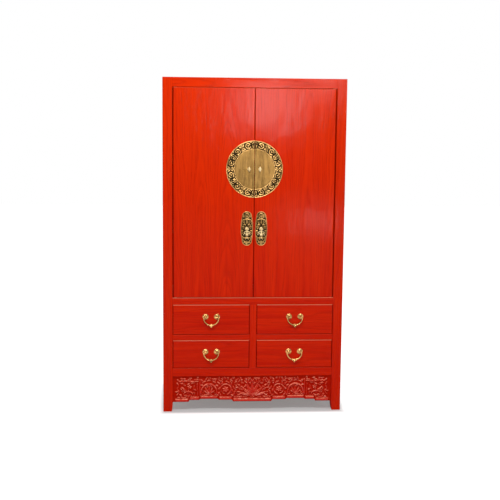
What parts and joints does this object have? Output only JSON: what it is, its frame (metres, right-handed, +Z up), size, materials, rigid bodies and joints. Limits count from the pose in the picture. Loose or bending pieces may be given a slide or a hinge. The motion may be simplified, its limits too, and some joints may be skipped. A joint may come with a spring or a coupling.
{
  "type": "chinese wedding cabinet",
  "caption": "Tall red lacquered cabinet on square posts: two flush pivot doors with round brass face plate over two rows of drawers and a carved apron.",
  "frame": {"origin": "on the floor, under the middle of the whole box, pulls included", "axes": "+X to the right seen from the front, +Y from the front to the back, +Z up"},
  "size_m": [1.04, 0.584, 1.925],
  "materials": {
    "red_lacquer": "red lacquer over open elm grain, satin gloss",
    "carved_lacquer": "red lacquer on carved relief",
    "bare_wood": "unfinished softwood",
    "antique_brass": "cast and chased, dark in the recesses",
    "bright_brass": "polished by use"
  },
  "bodies": {
    "carcass": {"back_cross_rails": "red_lacquer", "back_left_post": "red_lacquer", "back_panels": "red_lacquer", "back_right_post": "red_lacquer", "bottom_front_rail": "red_lacquer", "center_stile": "red_lacquer", "compartment_floor": "bare_wood", "door_sill_rail": "red_lacquer", "door_stops": "bare_wood", "drawer_guides": "bare_wood", "drawer_rails": "red_lacquer", "drawer_runners": "bare_wood", "front_apron": "carved_lacquer", "front_left_post": "red_lacquer", "front_right_post": "red_lacquer", "lower_shelf": "bare_wood", "lower_side_panels": "red_lacquer", "shelf_battens": "bare_wood", "side_aprons": "red_lacquer", "side_cross_rails": "red_lacquer", "top_back_rail": "red_lacquer", "top_front_rail": "red_lacquer", "top_panel": "red_lacquer", "top_side_rails": "red_lacquer", "upper_shelf": "bare_wood", "upper_side_panels": "red_lacquer"},
    "door_left": {"left_door_leaf": "red_lacquer", "left_door_battens": "red_lacquer", "left_door_pivots": "bare_wood", "left_face_plate": "antique_brass", "left_lock_eye": "bright_brass", "left_pull_plate": "antique_brass", "left_pull_staple": "bright_brass", "left_plate_tacks": "bright_brass"},
    "door_right": {"right_door_leaf": "red_lacquer", "right_door_battens": "red_lacquer", "right_door_pivots": "bare_wood", "right_face_plate": "antique_brass", "right_lock_eye": "bright_brass", "right_pull_plate": "antique_brass", "right_pull_staple": "bright_brass", "right_plate_tacks": "bright_brass"},
    "drop_left": {"left_drop_pull": "bright_brass"},
    "drop_right": {"right_drop_pull": "bright_brass"},
    "drawer_lower_left": {"lower_left_drawer_front": "red_lacquer", "lower_left_drawer_box": "bare_wood", "lower_left_pull_mounts": "bright_brass"},
    "drawer_lower_right": {"lower_right_drawer_front": "red_lacquer", "lower_right_drawer_box": "bare_wood", "lower_right_pull_mounts": "bright_brass"},
    "drawer_upper_left": {"upper_left_drawer_front": "red_lacquer", "upper_left_drawer_box": "bare_wood", "upper_left_pull_mounts": "bright_brass"},
    "drawer_upper_right": {"upper_right_drawer_front": "red_lacquer", "upper_right_drawer_box": "bare_wood", "upper_right_pull_mounts": "bright_brass"},
    "bail_lower_left": {"lower_left_bail": "bright_brass"},
    "bail_lower_right": {"lower_right_bail": "bright_brass"},
    "bail_upper_left": {"upper_left_bail": "bright_brass"},
    "bail_upper_right": {"upper_right_bail": "bright_brass"}
  },
  "joints": [
    {"name": "door_left_hinge", "type": "hinge", "parent": "carcass", "child": "door_left", "pos_m": [-0.449, -0.2545, 1.273], "axis": [0, 0, -1], "range_deg": [0, 100]},
    {"name": "drop_left_swing", "type": "hinge", "parent": "door_left", "child": "drop_left", "pos_m": [-0.041, -0.281, 1.07496], "axis": [-1, 0, 0], "range_deg": [0, 100]},
    {"name": "door_right_hinge", "type": "hinge", "parent": "carcass", "child": "door_right", "pos_m": [0.449, -0.2545, 1.273], "axis": [0, 0, 1], "range_deg": [0, 100]},
    {"name": "drop_right_swing", "type": "hinge", "parent": "door_right", "child": "drop_right", "pos_m": [0.041, -0.281, 1.07496], "axis": [-1, 0, 0], "range_deg": [0, 100]},
    {"name": "drawer_lower_left_slide", "type": "slide", "parent": "carcass", "child": "drawer_lower_left", "axis": [0, -1, 0], "range_m": [0, 0.38]},
    {"name": "bail_lower_left_swing", "type": "hinge", "parent": "drawer_lower_left", "child": "bail_lower_left", "pos_m": [-0.2425, -0.2835, 0.356], "axis": [-1, 0, 0], "range_deg": [0, 150]},
    {"name": "drawer_lower_right_slide", "type": "slide", "parent": "carcass", "child": "drawer_lower_right", "axis": [0, -1, 0], "range_m": [0, 0.38]},
    {"name": "bail_lower_right_swing", "type": "hinge", "parent": "drawer_lower_right", "child": "bail_lower_right", "pos_m": [0.2425, -0.2835, 0.356], "axis": [-1, 0, 0], "range_deg": [0, 150]},
    {"name": "drawer_upper_left_slide", "type": "slide", "parent": "carcass", "child": "drawer_upper_left", "axis": [0, -1, 0], "range_m": [0, 0.38]},
    {"name": "bail_upper_left_swing", "type": "hinge", "parent": "drawer_upper_left", "child": "bail_upper_left", "pos_m": [-0.2425, -0.2835, 0.563], "axis": [-1, 0, 0], "range_deg": [0, 150]},
    {"name": "drawer_upper_right_slide", "type": "slide", "parent": "carcass", "child": "drawer_upper_right", "axis": [0, -1, 0], "range_m": [0, 0.38]},
    {"name": "bail_upper_right_swing", "type": "hinge", "parent": "drawer_upper_right", "child": "bail_upper_right", "pos_m": [0.2425, -0.2835, 0.563], "axis": [-1, 0, 0], "range_deg": [0, 150]}
  ]
}
